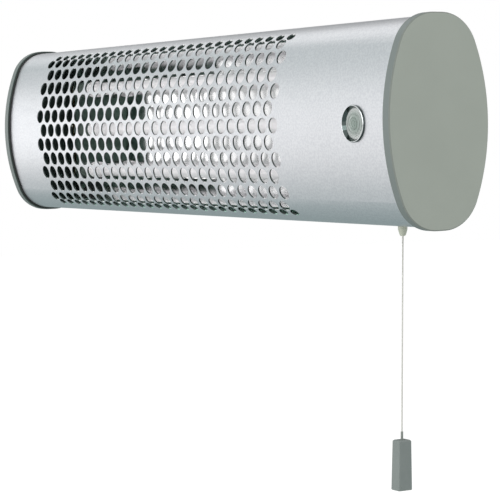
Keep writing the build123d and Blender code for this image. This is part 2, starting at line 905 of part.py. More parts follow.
def cable_gland():
    """The inlet for the mains cord on the rear panel."""
    seat = Plane(origin=(gland_x, panel_back, 0), x_dir=(1, 0, 0), z_dir=(0, 1, 0))
    body = extrude(RegularPolygon(gland_hex_radius, 6), gland_hex_length)
    dome = rod_z(gland_dome_radius, 0, 0, gland_hex_length, gland_hex_length + gland_dome_length)
    dome = fillet(dome.faces().sort_by(Axis.Z)[-1].edges(), gland_dome_round)
    thread = rod_z(gland_thread_radius, 0, 0, -gland_inside, 0)
    bore = Cylinder(gland_bore_radius, 4 * gland_dome_length)
    return seat * (body + dome + thread - bore)


def gland_nut():
    hollow = gland_hex_radius**2 / (2 * side_radius)
    seat = Plane(origin=(gland_x, panel_front - hollow - rest_gap, 0), x_dir=(1, 0, 0), z_dir=(0, -1, 0))
    return seat * hexagon_nut(gland_hex_radius, gland_nut_height, gland_thread_radius + shaft_gap)


def pivot_plate(root_y, tip_y, root_half, sheet_from, sheet_to):
    """An upright plate that narrows from its root to a round end at the pivot."""
    web = Polyline(
        (root_y, -root_half), (tip_y, -ear_radius), (tip_y, ear_radius), (root_y, root_half), close=True
    )
    section = make_face(web) + Pos(tip_y, 0) * Circle(ear_radius)
    plate = extrude(Plane.YZ.offset(sheet_from) * section, sheet_to - sheet_from)
    return plate - rod_x(pivot_radius + shaft_gap, sheet_from - overrun, sheet_to + overrun, tip_y, 0)


def arm_right():
    """One arm on the back of the heater, with its foot on the rear panel."""
    outer_x = ear_inner_x - washer_thickness - 2 * rest_gap
    inner_x = outer_x - arm_sheet
    web = pivot_plate(half_depth - sheet, centre_to_pivot, arm_root_half, inner_x, outer_x)
    foot = oval_ring(panel_outer + arm_foot_sheet, panel_outer, inner_x - arm_foot, outer_x)
    foot &= box(inner_x - arm_foot, outer_x, 0, half_depth + arm_foot_sheet, -arm_foot_half, arm_foot_half)
    outside = oval_block(panel_outer, inner_x - arm_foot, outer_x)
    return web + foot - outside - screw_holes(arm_screw_planes())


def tilt_arms():
    right = arm_right()
    return group([right, mirror(right, Plane.YZ)])


def arm_screw_planes():
    """Where the right arm's screws stand."""
    x = ear_inner_x - washer_thickness - arm_sheet - arm_foot / 2 - 2 * rest_gap
    return [back_plane(x, z, panel_outer + arm_foot_sheet) for z in (-arm_foot_half / 2, arm_foot_half / 2)]


def arm_screws():
    piece = screw(screw_head_radius, screw_head_height, screw_radius, panel_screw_length)
    right = [plane * piece for plane in arm_screw_planes()]
    return group(right + [mirror(piece_right, Plane.YZ) for piece_right in right])


def wall_bracket():
    """The bracket on the wall: a plate with two screw holes and an ear bent out at each end."""
    outer_x = ear_inner_x + ear_sheet
    plate = box(-outer_x, outer_x, -wall_plate_sheet, 0, -wall_plate_half_height, wall_plate_half_height)
    window = Pos(0, -wall_plate_sheet / 2, 0) * Box(
        2 * wall_window_half_length, wall_plate_sheet + 2 * overrun, 2 * wall_window_half_height
    )
    window = fillet(window.edges().filter_by(Axis.Y), wall_window_corner)
    ear = pivot_plate(0, -wall_gap, ear_root_half, ear_inner_x, outer_x)
    bracket = plate + ear + mirror(ear, Plane.YZ) - window
    ends = (-wall_plate_sheet - overrun, overrun)
    for x in (-wall_hole_spacing / 2, wall_hole_spacing / 2):
        bracket -= rod_y(wall_hole_radius, x, *ends, 0)
    return bracket


def pivot_bolts():
    head_x = ear_inner_x + ear_sheet
    inner_x = ear_inner_x - washer_thickness - arm_sheet - pivot_nut_height - 4 * rest_gap
    bolt = rod_x(pivot_radius, inner_x, head_x, -wall_gap, 0)
    head = rod_x(pivot_head_radius, head_x, head_x + pivot_head_height, -wall_gap, 0)
    head = fillet(head.faces().sort_by(Axis.X)[-1].edges(), pivot_head_round)
    bolt += head
    return group([bolt, mirror(bolt, Plane.YZ)])


def pivot_washers():
    outer_x = ear_inner_x - rest_gap / 2
    washer = rod_x(washer_radius, outer_x - washer_thickness, outer_x, -wall_gap, 0)
    ends = (outer_x - washer_thickness - overrun, outer_x + overrun)
    washer -= rod_x(pivot_radius + shaft_gap, *ends, -wall_gap, 0)
    return group([washer, mirror(washer, Plane.YZ)])


def pivot_nuts():
    outer_x = ear_inner_x - washer_thickness - arm_sheet - 3 * rest_gap
    seat = Plane(origin=(outer_x, -wall_gap, 0), x_dir=(0, 1, 0), z_dir=(-1, 0, 0))
    nut = seat * hexagon_nut(pivot_head_radius, pivot_nut_height, pivot_radius + shaft_gap)
    return group([nut, mirror(nut, Plane.YZ)])


def on_pivot(piece):
    """Carries a piece of the heater from its section's centre to the pivot, at the tilt shown."""
    return Pos(0, -wall_gap, 0) * Rot(rest_tilt, 0, 0) * Pos(0, -centre_to_pivot, 0) * piece


def cord_mouth():
    """The middle of the nipple's mouth, where the free cord starts."""
    return on_pivot(Pos(control_x, 0, nipple_tip_z)).position


def pull_cord():
    """The free cord, straight down under the weight of its handle."""
    mouth = cord_mouth()
    bottom = mouth.Z - cord_length - cord_in_handle
    cord = rod_z(cord_radius, mouth.X, mouth.Y, bottom, mouth.Z)
    return chamfer(cord.faces().sort_by(Axis.Z)[-1].edges(), cord_top_bevel)


def cord_sleeve():
    """The short sleeve on the cord just above the handle."""
    mouth = cord_mouth()
    base = mouth.Z - cord_length
    sleeve = rod_z(sleeve_radius, 0, 0, 0, sleeve_length)
    sleeve -= rod_z(cord_radius + shaft_gap, 0, 0, -overrun, sleeve_length + overrun)
    return Pos(mouth.X, mouth.Y, base) * sleeve


def pull_handle():
    """The tapered handle, wider at the bottom."""
    mouth = cord_mouth()
    top = mouth.Z - cord_length
    levels = [
        (0, handle_bottom, handle_bevel),
        (handle_bevel / 2, handle_bottom, 0),
        (handle_length - handle_bevel, handle_top, 0),
        (handle_length, handle_top, 2 * handle_bevel),
    ]
    sections = [
        Plane.XY.offset(z) * RectangleRounded(width - less, depth - less, handle_corner)
        for z, (width, depth), less in levels
    ]
    body = loft(sections, ruled=True)
    bore = rod_z(cord_radius + shaft_gap, 0, 0, handle_length - cord_in_handle, handle_length + overrun)
    return Pos(mouth.X, mouth.Y, top - handle_length) * (body - bore)


heater_pieces = {
    "front_shell": front_shell,
    "rear_panel": rear_panel,
    "panel_screws": panel_screws,
    "left_end_cap": left_end_cap,
    "right_end_cap": right_end_cap,
    "left_cap_seal": left_cap_seal,
    "right_cap_seal": right_cap_seal,
    "cap_screws": cap_screws,
    "reflector": reflector,
    "reflector_posts": reflector_posts,
    "left_lamp_bracket": lambda: mirror_lamp_end(lamp_bracket()),
    "right_lamp_bracket": lamp_bracket,
    "bracket_screws": bracket_screws,
    "left_ceramic_caps": lambda: group([mirror_lamp_end(ceramic_caps())]),
    "right_ceramic_caps": ceramic_caps,
    "tube_pins": tube_pins,
    "heat_shield": heat_shield,
    "lamp_bezel": lamp_bezel,
    "lamp_lens": lamp_lens,
    "lamp_body": lamp_body,
    "lamp_nut": lamp_nut,
    "lamp_tabs": lamp_tabs,
    "control_plate": control_plate,
    "switch_housing": switch_housing,
    "switch_cover": switch_cover,
    "lever_pin": lambda: switch_pin(0),
    "rotor_pin": lambda: switch_pin(1),
    "switch_lever": switch_lever,
    "return_spring": return_spring,
    "switch_rotor": switch_rotor,
    "switch_contacts": switch_contacts,
    "cord_nipple": cord_nipple,
    "nipple_nut": nipple_nut,
    "cord_ferrule": cord_ferrule,
    "cord_tail": cord_tail,
    "terminal_block": terminal_block,
    "terminal_screws": terminal_screws,
    "element_leads": element_leads,
    "link_bar": link_bar,
    "return_lead": return_lead,
    "earth_stud": earth_stud,
    "cable_gland": cable_gland,
    "gland_nut": gland_nut,
    "tilt_arms": tilt_arms,
    "arm_screws": arm_screws,
}

hanging_and_fixed_pieces = {
    "wall_bracket": wall_bracket,
    "pivot_bolts": pivot_bolts,
    "pivot_washers": pivot_washers,
    "pivot_nuts": pivot_nuts,
    "pull_cord": pull_cord,
    "cord_sleeve": cord_sleeve,
    "pull_handle": pull_handle,
}

os.makedirs("parts", exist_ok=True)
for name, make in heater_pieces.items():
    export_step(on_pivot(make()), f"parts/{name}.step")
for height_name, height in tube_heights.items():
    export_step(on_pivot(quartz_tube(height)), f"parts/quartz_tube_{height_name}.step")
    export_step(on_pivot(heating_coil(height)), f"parts/coil_{height_name}.step")
for name, make in hanging_and_fixed_pieces.items():
    export_step(make(), f"parts/{name}.step")
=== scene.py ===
import json
from math import pi, tau

import bpy
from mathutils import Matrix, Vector


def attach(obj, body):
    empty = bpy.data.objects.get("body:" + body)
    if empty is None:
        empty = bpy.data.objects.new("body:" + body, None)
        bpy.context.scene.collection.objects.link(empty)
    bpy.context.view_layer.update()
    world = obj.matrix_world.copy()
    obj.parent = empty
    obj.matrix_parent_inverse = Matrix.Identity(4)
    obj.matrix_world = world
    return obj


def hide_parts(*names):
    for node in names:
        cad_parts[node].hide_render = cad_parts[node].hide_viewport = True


# Looks of a wall-hung radiant heater: a satin aluminium casing with a pierced front, milky quartz
# lamps over a bright reflector, painted end caps, an indicator lamp and a braided pull cord.
# Metres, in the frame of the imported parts.

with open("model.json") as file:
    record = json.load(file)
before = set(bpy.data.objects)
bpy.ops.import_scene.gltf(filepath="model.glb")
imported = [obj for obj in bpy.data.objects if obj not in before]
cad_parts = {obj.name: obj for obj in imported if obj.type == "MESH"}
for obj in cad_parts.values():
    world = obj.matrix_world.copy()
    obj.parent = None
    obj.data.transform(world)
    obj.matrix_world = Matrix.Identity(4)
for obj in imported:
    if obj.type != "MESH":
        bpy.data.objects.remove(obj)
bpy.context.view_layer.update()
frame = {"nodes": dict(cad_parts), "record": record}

# Camera of the photograph
CAMERA_PLACE = (1.3380, -0.9080, -0.0234)
CAMERA_TURN = 0.99973
CAMERA_DIP = 0.05255
FOCAL_LENGTH = 133.27
SENSOR_WIDTH = 36.0

# Pull cord: its mouth, and the points of its route below it
CORD_X = 0.265
CORD_Y = -0.086324
CORD_TOP = -0.083908
CORD_RADIUS = 0.0006
CORD_FREE_LENGTH = 0.1495
CORD_IN_HANDLE = 0.0095

# Casing: the middle of its section, the end of its blind left part, the height past the reflector where
# painted shade darkens its inside, and how squarely a cut edge of its sheet, painted dark as shade,
# faces along X at least
SECTION_Y = -0.08848
SECTION_Z = -0.00164
SHADE_END_X = -0.243
REFLECTOR_TOP = 0.066
REFLECTOR_FADE = 0.004
CUT_EDGE = 0.3

# End caps: how far out the painted shade on their inside and on their lip's step reaches, and how
# squarely their slanted rim and their flat face look along X at least
CAP_INSIDE_X = 0.3072
CAP_RIM = 0.5
CAP_FACE = 0.9

# Quartz lamps: their middle, how far from it their ceramics are glazed white, and the Y in front of
# which zinc-plated sheet is darkened with painted shade
LAMPS_MIDDLE_X = -0.03825
GLAZED_LIP = 0.1700
PAINTED_SHADE_Y = -0.0600

# Cord braid: strands that wind each way
BRAID_STRANDS = 4.0

# Indicator lamp: its middle, the mouth and the lip of its bright ring, and its lens
LAMP_X = 0.265
LAMP_Z = -0.00275
LAMP_MOUTH = 0.01275
LAMP_LIP = 0.01325
LENS_RADIUS = 0.0113
LENS_GROOVES = 3

# Studio as metal shows it: how bright the surroundings look from level (0) to overhead (1), how
# bright the floor looks from well in front of the heater (0) to behind it (1), a painted shadow that
# darkens it towards the wall, how much cooler the darker shades are, and the dark card behind the
# heater's far end. The card's edge and core are cosines of the angle from its middle.
STUDIO_SHADES = ((0.0, 1.0), (0.17, 0.95), (0.28, 0.80), (0.38, 0.62), (0.46, 0.42), (0.54, 1.0))
FLOOR_SHADES = ((0.0, 1.0), (0.30, 1.0), (0.52, 0.57), (1.0, 0.45))
SHADE_COOLNESS = 1.25
CARD_DIRECTION = (-0.80, 0.57, 0.18)
CARD_EDGE = 0.80
CARD_CORE = 0.96
CARD_SHADE = 0.25
FLOOR_FRONT_Y = -1.6
FLOOR_BACK_Y = 0.4

# Floor and world: their size, and how they look and light apart from that
FLOOR_Z = -0.60
FLOOR_REACH = 8.0
FLOOR_COLOUR = (0.76, 0.77, 0.77, 1.0)
FLOOR_GLOW = 0.73
FLOOR_SHADOW = 0.35
WORLD_STRENGTH = 0.95
WHITE = (1.0, 1.0, 1.0, 1.0)

# Studio lamps: place, what they face, width and power
LAMPS = {
    "key": ((0.0, -2.0, 0.5), (0.0, -0.1, 0.0), 1.2, 14.0),
    "left": ((-3.0, -1.2, 0.0), (-0.3, -0.1, 0.0), 1.2, 4.0),
    "top": ((-2.2, -0.15, 1.65), (0.2, -0.1, 0.0), 1.5, 2.5),
    "side": ((2.0, -0.6, 0.8), (0.2, -0.1, 0.0), 1.0, 7.0),
}


def add_camera():
    """The camera that shows the heater as the photograph does."""
    data = bpy.data.cameras.new("camera")
    data.lens = FOCAL_LENGTH
    data.sensor_width = SENSOR_WIDTH
    data.clip_start = 0.01
    camera = bpy.data.objects.new("camera", data)
    camera.location = CAMERA_PLACE
    camera.rotation_euler = (pi / 2 - CAMERA_DIP, 0.0, CAMERA_TURN)
    bpy.context.collection.objects.link(camera)
    bpy.context.scene.camera = camera


def add_cord():
    """The free cord, hanging straight from the nipple's mouth down into the handle."""
    curve = bpy.data.curves.new("braided_cord", "CURVE")
    curve.dimensions = "3D"
    # With a depth of 1, each point's radius is the cord's own.
    curve.bevel_depth = 1.0
    curve.bevel_resolution = 6
    curve.resolution_u = 12
    curve.use_fill_caps = True
    length = CORD_FREE_LENGTH + CORD_IN_HANDLE
    heights = [CORD_TOP, CORD_TOP - length / 2, CORD_TOP - length]
    spline = curve.splines.new("NURBS")
    spline.points.add(len(heights) - 1)
    for point, height in zip(spline.points, heights):
        point.co = (CORD_X, CORD_Y, height, 1.0)
        point.radius = CORD_RADIUS
    spline.order_u = 3
    spline.use_endpoint_u = True
    cord = bpy.data.objects.new("braided_cord", curve)
    bpy.context.collection.objects.link(cord)
    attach(cord, "hanging_cord")
    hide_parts("pull_cord")
    return cord


class Shader:
    """A material's node tree with short ways to add the nodes used here."""

    def __init__(self, name):
        self.material = bpy.data.materials.new(name)
        self.material.use_nodes = True
        self.tree = self.material.node_tree
        self.surface = self.tree.nodes["Principled BSDF"]
        self.place = self.node("ShaderNodeTexCoord").outputs["Object"]

    def node(self, kind, **settings):
        node = self.tree.nodes.new(kind)
        for name, value in settings.items():
            setattr(node, name, value)
        return node

    def link(self, output, socket):
        self.tree.links.new(output, socket)

    def value(self, name, value):
        self.surface.inputs[name].default_value = value

    def math(self, operation, first, second=0.0):
        """One step of arithmetic, on numbers or on nodes' outputs."""
        node = self.node("ShaderNodeMath", operation=operation)
        for socket, term in zip(node.inputs, (first, second)):
            if isinstance(term, (int, float)):
                socket.default_value = term
            else:
                self.link(term, socket)
        return node.outputs[0]

    def inward(self):
        """1 on the faces that look at the casing's middle line, and 0 on its outside."""
        _, y, z = self.axes()
        _, facing_y, facing_z = self.facing()
        towards_y = self.math("MULTIPLY", facing_y, self.math("SUBTRACT", y, SECTION_Y))
        towards_z = self.math("MULTIPLY", facing_z, self.math("SUBTRACT", z, SECTION_Z))
        return self.math("LESS_THAN", self.math("ADD", towards_y, towards_z), 0.0)

    def from_lamp(self):
        """The distance from the middle of the indicator lamp, seen from the front."""
        x, _, z = self.axes()
        across = self.math("POWER", self.math("SUBTRACT", x, LAMP_X), 2.0)
        up = self.math("POWER", self.math("SUBTRACT", z, LAMP_Z), 2.0)
        return self.math("SQRT", self.math("ADD", across, up))

    def axes(self, vector=None):
        """The X, Y and Z of a vector, by default the place on the object."""
        split = self.node("ShaderNodeSeparateXYZ")
        self.link(vector or self.place, split.inputs[0])
        return split.outputs

    def facing(self):
        """The X, Y and Z of the way that the surface faces."""
        return self.axes(self.node("ShaderNodeTexCoord").outputs["Normal"])

    def squarely(self):
        """How squarely the surface faces along X: 1 when it looks right at an end, 0 when side on."""
        return self.math("ABSOLUTE", self.facing()[0])

    def stretched(self, scale):
        """The place on the object, scaled by its own factor along each axis."""
        mapping = self.node("ShaderNodeMapping")
        mapping.inputs["Scale"].default_value = scale
        self.link(self.place, mapping.inputs["Vector"])
        return mapping.outputs[0]

    def noise(self, scale, detail, vector=None):
        """Soft noise from 0 to 1. The scale is about its number of features in a metre."""
        node = self.node("ShaderNodeTexNoise")
        node.inputs["Scale"].default_value = scale
        node.inputs["Detail"].default_value = detail
        self.link(vector or self.place, node.inputs["Vector"])
        return node.outputs["Fac"]

    def flakes(self, scale):
        """A random number from 0 to 1 for each flake of the metal's crystals."""
        cells = self.node("ShaderNodeTexVoronoi")
        cells.inputs["Scale"].default_value = scale
        self.link(self.place, cells.inputs["Vector"])
        return self.axes(cells.outputs["Color"])[0]

    def between(self, amount, low, high):
        """A number turned from the range 0 to 1 into another range."""
        node = self.node("ShaderNodeMapRange")
        node.inputs["To Min"].default_value = low
        node.inputs["To Max"].default_value = high
        self.link(amount, node.inputs["Value"])
        return node.outputs[0]

    def step(self, amount, start, end):
        """0 before start and 1 after end, and smooth between them."""
        node = self.node("ShaderNodeMapRange", interpolation_type="SMOOTHSTEP")
        node.inputs["From Min"].default_value = start
        node.inputs["From Max"].default_value = end
        self.link(amount, node.inputs["Value"])
        return node.outputs[0]

    def mix(self, amount, first, second):
        """A colour between two colours, each a tuple or a node's output."""
        node = self.node("ShaderNodeMix", data_type="RGBA")
        self.link(amount, node.inputs["Factor"])
        for socket, colour in ((node.inputs[6], first), (node.inputs[7], second)):
            if isinstance(colour, tuple):
                socket.default_value = (*colour, 1.0)
            else:
                self.link(colour, socket)
        return node.outputs[2]

    def colour(self, source):
        self.link(source, self.surface.inputs["Base Color"])

    def roughness(self, source):
        self.link(source, self.surface.inputs["Roughness"])

    def bump(self, height, distance):
        node = self.node("ShaderNodeBump")
        node.inputs["Strength"].default_value = 1.0
        node.inputs["Distance"].default_value = distance
        self.link(height, node.inputs["Height"])
        self.link(node.outputs[0], self.surface.inputs["Normal"])


def satin_aluminium():
    """Rolled sheet: satin outside, bare and bright behind the grille, with painted shade inside at its
    blind left end and past the reflector, and on the cut edges of its holes.
    """
    shader = Shader("satin_aluminium")
    grain = shader.noise(900.0, 2.0, shader.stretched((0.05, 1.0, 1.0)))
    speckle = shader.step(shader.noise(650.0, 4.0), 0.35, 0.65)
    cloud = shader.noise(14.0, 2.0)
    outer = shader.mix(cloud, (0.60, 0.61, 0.635), (0.64, 0.65, 0.675))
    outer = shader.mix(shader.between(grain, 0.0, 0.3), outer, (0.50, 0.51, 0.53))
    outer = shader.mix(shader.between(speckle, 0.0, 0.40), outer, (0.80, 0.81, 0.82))
    # Painted shade: the cut edges of the holes are coloured nearly black.
    shaded_cut = shader.math("GREATER_THAN", shader.squarely(), CUT_EDGE)
    x, _, z = shader.axes()
    # Painted shade: the inside turns dark at the blind left end and past the reflector's top and bottom.
    blind_end = shader.math("LESS_THAN", x, SHADE_END_X)
    beyond = shader.step(shader.math("ABSOLUTE", z), REFLECTOR_TOP, REFLECTOR_TOP + REFLECTOR_FADE)
    painted_inside_shade = shader.math("MAXIMUM", blind_end, beyond)
    inner = shader.mix(painted_inside_shade, (0.98, 0.98, 0.98), (0.34, 0.52, 0.45))
    inside = shader.inward()
    shader.colour(shader.mix(shaded_cut, shader.mix(inside, outer, inner), (0.06, 0.08, 0.075)))
    shader.link(shader.math("SUBTRACT", 1.0, inside), shader.surface.inputs["Metallic"])
    shader.roughness(shader.between(grain, 0.34, 0.44))
    shader.bump(grain, 0.00004)
    return shader.material


def cap_paint():
    """Painted end caps: painted shade darkens them round their edge, on the slant beside it, inside them
    and on their lip's step.
    """
    shader = Shader("cap_paint")
    cloud = shader.noise(22.0, 3.0)
    face = shader.mix(cloud, (0.260, 0.288, 0.252), (0.300, 0.328, 0.290))
    # Painted shade: the rim round the edge is a darker copy of the face's paint.
    shaded_rim = shader.mix(cloud, (0.124, 0.150, 0.142), (0.148, 0.174, 0.166))
    squarely = shader.squarely()
    endwards = shader.math("GREATER_THAN", squarely, CAP_RIM)
    slanted = shader.math("LESS_THAN", squarely, CAP_FACE)
    # Painted shade: the slant between rim and face is coloured darker.
    paint = shader.mix(endwards, shaded_rim, shader.mix(slanted, face, (0.17, 0.19, 0.17)))
    from_middle = shader.math("ABSOLUTE", shader.axes()[0])
    # Painted shade: the inside and the step of the lip are coloured dark.
    cap_inside_shade = shader.math("MAXIMUM", endwards, shader.inward())
    cap_inside_shade = shader.math("MULTIPLY", cap_inside_shade, shader.math("LESS_THAN", from_middle, CAP_INSIDE_X))
    shader.colour(shader.mix(cap_inside_shade, paint, (0.05, 0.075, 0.066)))
    peel = shader.noise(1400.0, 2.0)
    shader.roughness(shader.between(cloud, 0.42, 0.52))
    shader.bump(peel, 0.00005)
    return shader.material


def mirror_aluminium():
    """The polished reflector, with the faint waves of folded sheet."""
    shader = Shader("mirror_aluminium")
    shader.value("Metallic", 1.0)
    wave = shader.noise(18.0, 1.0)
    shader.colour(shader.mix(wave, (0.93, 0.93, 0.94), (0.97, 0.97, 0.97)))
    shader.roughness(shader.between(wave, 0.05, 0.10))
    shader.bump(wave, 0.0004)
    return shader.material


def zinc_sheet():
    """Zinc-plated sheet, plain at the back and darkened with painted shade in front, beside the lamps."""
    shader = Shader("zinc_sheet")
    shader.value("Metallic", 1.0)
    shade = shader.flakes(340.0)
    clean = shader.mix(shade, (0.44, 0.455, 0.46), (0.52, 0.535, 0.54))
    # Painted shade: the sheet in front of that Y is coloured near black.
    shaded_zinc = shader.mix(shade, (0.06, 0.095, 0.08), (0.09, 0.13, 0.11))
    in_painted_shade = shader.math("LESS_THAN", shader.axes()[1], PAINTED_SHADE_Y)
    shader.colour(shader.mix(in_painted_shade, clean, shaded_zinc))
    shader.roughness(shader.between(shade, 0.40, 0.52))
    shader.bump(shader.noise(1100.0, 2.0), 0.00003)
    return shader.material


def plated(name, low, high, roughness, flake=340.0):
    """Plated metal with a faint spangle."""
    shader = Shader(name)
    shader.value("Metallic", 1.0)
    shade = shader.flakes(flake)
    shader.colour(shader.mix(shade, low, high))
    shader.roughness(shader.between(shade, roughness, roughness + 0.12))
    shader.bump(shader.noise(1100.0, 2.0), 0.00003)
    return shader.material


def moulded(name, low, high, roughness, grain=1600.0, depth=0.00003):
    """Moulded plastic, rubber or ceramic with a fine skin."""
    shader = Shader(name)
    cloud = shader.noise(60.0, 3.0)
    skin = shader.noise(grain, 2.0)
    shader.colour(shader.mix(cloud, low, high))
    shader.roughness(shader.between(cloud, roughness, roughness + 0.1))
    shader.bump(skin, depth)
    return shader.material


def milky_quartz():
    """White translucent tube with faint drawn lines along it."""
    shader = Shader("milky_quartz")
    lines = shader.noise(500.0, 2.0, shader.stretched((0.02, 1.0, 1.0)))
    shader.colour(shader.mix(lines, (0.97, 0.94, 0.96), (0.99, 0.97, 0.985)))
    shader.roughness(shader.between(lines, 0.18, 0.28))
    shader.bump(lines, 0.00003)
    return shader.material


def lamp_ceramic():
    """Dark fired ceramic with a white glazed lip where it grips the tube."""
    shader = Shader("lamp_ceramic")
    cloud = shader.noise(60.0, 3.0)
    body = shader.mix(cloud, (0.07, 0.10, 0.085), (0.11, 0.14, 0.12))
    from_middle = shader.math("ABSOLUTE", shader.math("SUBTRACT", shader.axes()[0], LAMPS_MIDDLE_X))
    lip = shader.math("LESS_THAN", from_middle, GLAZED_LIP)
    shader.colour(shader.mix(lip, body, (0.95, 0.93, 0.94)))
    shader.roughness(shader.between(cloud, 0.6, 0.75))
    shader.bump(shader.noise(2200.0, 2.0), 0.00006)
    return shader.material


def bright_chrome():
    """The indicator lamp's ring: bright on its lip, with a painted dark reflection and shade in its sloping
    mouth and on its foot.
    """
    shader = Shader("bright_chrome")
    shader.value("Metallic", 1.0)
    haze = shader.noise(300.0, 2.0)
    bright = shader.mix(haze, (0.72, 0.74, 0.75), (0.80, 0.82, 0.83))
    radius = shader.from_lamp()
    shaded_mouth = shader.math("LESS_THAN", radius, LAMP_MOUTH)
    shaded_foot = shader.math("GREATER_THAN", radius, LAMP_LIP)
    # Painted reflection and shade: the mouth and the foot are coloured dark.
    shader.colour(shader.mix(shader.math("MAXIMUM", shaded_mouth, shaded_foot), bright, (0.10, 0.125, 0.12)))
    shader.roughness(shader.between(haze, 0.08, 0.14))
    return shader.material


def clear_lens():
    """The indicator lamp's lens, unlit: a grey-green smoke in clear plastic, whitened towards its edge by a
    painted highlight.
    """
    shader = Shader("clear_lens")
    shader.value("Transmission Weight", 0.35)
    shader.value("IOR", 1.49)
    haze = shader.noise(400.0, 2.0)
    outwards = shader.math("DIVIDE", shader.from_lamp(), LENS_RADIUS)
    # Painted highlight: the lens turns nearly white towards its edge.
    edge_glint = shader.math("POWER", outwards, 3.0)
    smoke_and_glint = shader.mix(edge_glint, (0.30, 0.37, 0.33), (0.97, 0.99, 0.98))
    wave = shader.math("COSINE", shader.math("MULTIPLY", outwards, tau * LENS_GROOVES))
    groove = shader.between(shader.step(wave, 0.2, 1.0), 0.0, 0.30)
    shader.colour(shader.mix(groove, smoke_and_glint, (0.16, 0.20, 0.18)))
    shader.roughness(shader.between(haze, 0.02, 0.08))
    shader.bump(haze, 0.00002)
    return shader.material


def braid(name, low, high, width):
    """A braided cover: two sets of strands that wind round the cord in opposite ways."""
    shader = Shader(name)
    x, y, z = shader.axes()
    side = shader.math("SUBTRACT", x, CORD_X)
    front = shader.math("SUBTRACT", y, CORD_Y)
    angle = shader.math("ARCTAN2", front, side)
    round_cord = shader.math("MULTIPLY", angle, BRAID_STRANDS)
    rise = shader.math("MULTIPLY", z, tau / width)
    first = shader.math("SINE", shader.math("ADD", round_cord, rise))
    second = shader.math("SINE", shader.math("SUBTRACT", round_cord, rise))
    strand = shader.between(shader.math("MAXIMUM", first, second), 0.0, 1.0)
    shader.colour(shader.mix(strand, low, high))
    shader.value("Roughness", 0.9)
    shader.value("Sheen Weight", 0.2)
    shader.bump(strand, 0.00015)
    return shader.material


MATERIALS = {
    "satin_aluminium": satin_aluminium,
    "cap_paint": cap_paint,
    "mirror_aluminium": mirror_aluminium,
    "zinc_sheet": zinc_sheet,
    "zinc_plate": lambda: plated("zinc_plate", (0.58, 0.59, 0.60), (0.68, 0.69, 0.70), 0.32),
    "zinc_screws": lambda: plated("zinc_screws", (0.60, 0.61, 0.62), (0.72, 0.73, 0.74), 0.25, 900.0),
    "seal_rubber": lambda: moulded("seal_rubber", (0.012, 0.014, 0.013), (0.020, 0.023, 0.021), 0.6),
    "milky_quartz": milky_quartz,
    "heating_wire": lambda: plated("heating_wire", (0.10, 0.10, 0.09), (0.16, 0.15, 0.14), 0.5, 2000.0),
    "lamp_ceramic": lamp_ceramic,
    "bright_chrome": bright_chrome,
    "clear_lens": clear_lens,
    "black_plastic": lambda: moulded("black_plastic", (0.012, 0.012, 0.013), (0.022, 0.022, 0.024), 0.4),
    "switch_plastic": lambda: moulded("switch_plastic", (0.58, 0.56, 0.48), (0.66, 0.64, 0.56), 0.35),
    "brass_parts": lambda: plated("brass_parts", (0.62, 0.44, 0.17), (0.72, 0.53, 0.24), 0.25, 700.0),
    "grey_plastic": lambda: moulded("grey_plastic", (0.40, 0.43, 0.35), (0.50, 0.52, 0.43), 0.25),
    "lead_sleeve": lambda: moulded(
        "lead_sleeve", (0.66, 0.64, 0.56), (0.76, 0.74, 0.67), 0.8, grain=2600.0, depth=0.0001
    ),
    "cord_braid": lambda: braid("cord_braid", (0.40, 0.40, 0.37), (0.72, 0.72, 0.68), 0.0022),
    "dark_sleeve": lambda: moulded("dark_sleeve", (0.17, 0.19, 0.17), (0.22, 0.24, 0.22), 0.55),
    "handle_plastic": lambda: moulded("handle_plastic", (0.155, 0.180, 0.172), (0.185, 0.212, 0.202), 0.32),
}


def dress(cord):
    """Gives each node and the cord the material of its slot in the record."""
    made = {name: make() for name, make in MATERIALS.items()}
    for part in frame["record"]["subparts"]:
        mesh = frame["nodes"][part["node"]].data
        mesh.materials.clear()
        mesh.materials.append(made[part["material_slot"]])
    cord.data.materials.append(made["cord_braid"])


def shown_to(tree, *kinds):
    """1 for rays of any of the named kinds, else 0."""
    path = tree.nodes.new("ShaderNodeLightPath")
    seen = path.outputs[kinds[0]]
    for kind in kinds[1:]:
        either = tree.nodes.new("ShaderNodeMath")
        either.operation = "MAXIMUM"
        tree.links.new(seen, either.inputs[0])
        tree.links.new(path.outputs[kind], either.inputs[1])
        seen = either.outputs[0]
    return seen


def mixed(tree, amount, first, second):
    """A shader between two shaders."""
    mix = tree.nodes.new("ShaderNodeMixShader")
    tree.links.new(amount, mix.inputs[0])
    tree.links.new(first, mix.inputs[1])
    tree.links.new(second, mix.inputs[2])
    return mix.outputs[0]


def background(tree, strength):
    """A plain white background."""
    node = tree.nodes.new("ShaderNodeBackground")
    node.inputs["Color"].default_value = WHITE
    node.inputs["Strength"].default_value = strength
    return node


def shades(tree, amount, stops):
    """A grey, cooler where it is darker, that follows an amount from 0 to 1 through the stops."""
    ramp = tree.nodes.new("ShaderNodeValToRGB")
    ramp.color_ramp.interpolation = "EASE"
    marks = ramp.color_ramp.elements
    for number, (place, shade) in enumerate(stops):
        stop = marks[number] if number < len(marks) else marks.new(place)
        stop.position = place
        stop.color = (shade**SHADE_COOLNESS, shade, shade, 1.0)
    tree.links.new(amount, ramp.inputs[0])
    return ramp.outputs["Color"]


def dark_card(tree, direction):
    """1, and darker towards the card that stands behind the far end of the heater."""
    nearness = tree.nodes.new("ShaderNodeVectorMath")
    nearness.operation = "DOT_PRODUCT"
    nearness.inputs[1].default_value = CARD_DIRECTION
    tree.links.new(direction, nearness.inputs[0])
    card = tree.nodes.new("ShaderNodeMapRange")
    card.interpolation_type = "SMOOTHSTEP"
    card.inputs["From Min"].default_value = CARD_EDGE
    card.inputs["From Max"].default_value = CARD_CORE
    card.inputs["To Min"].default_value = 1.0
    card.inputs["To Max"].default_value = CARD_SHADE
    tree.links.new(nearness.outputs["Value"], card.inputs["Value"])
    return card.outputs[0]


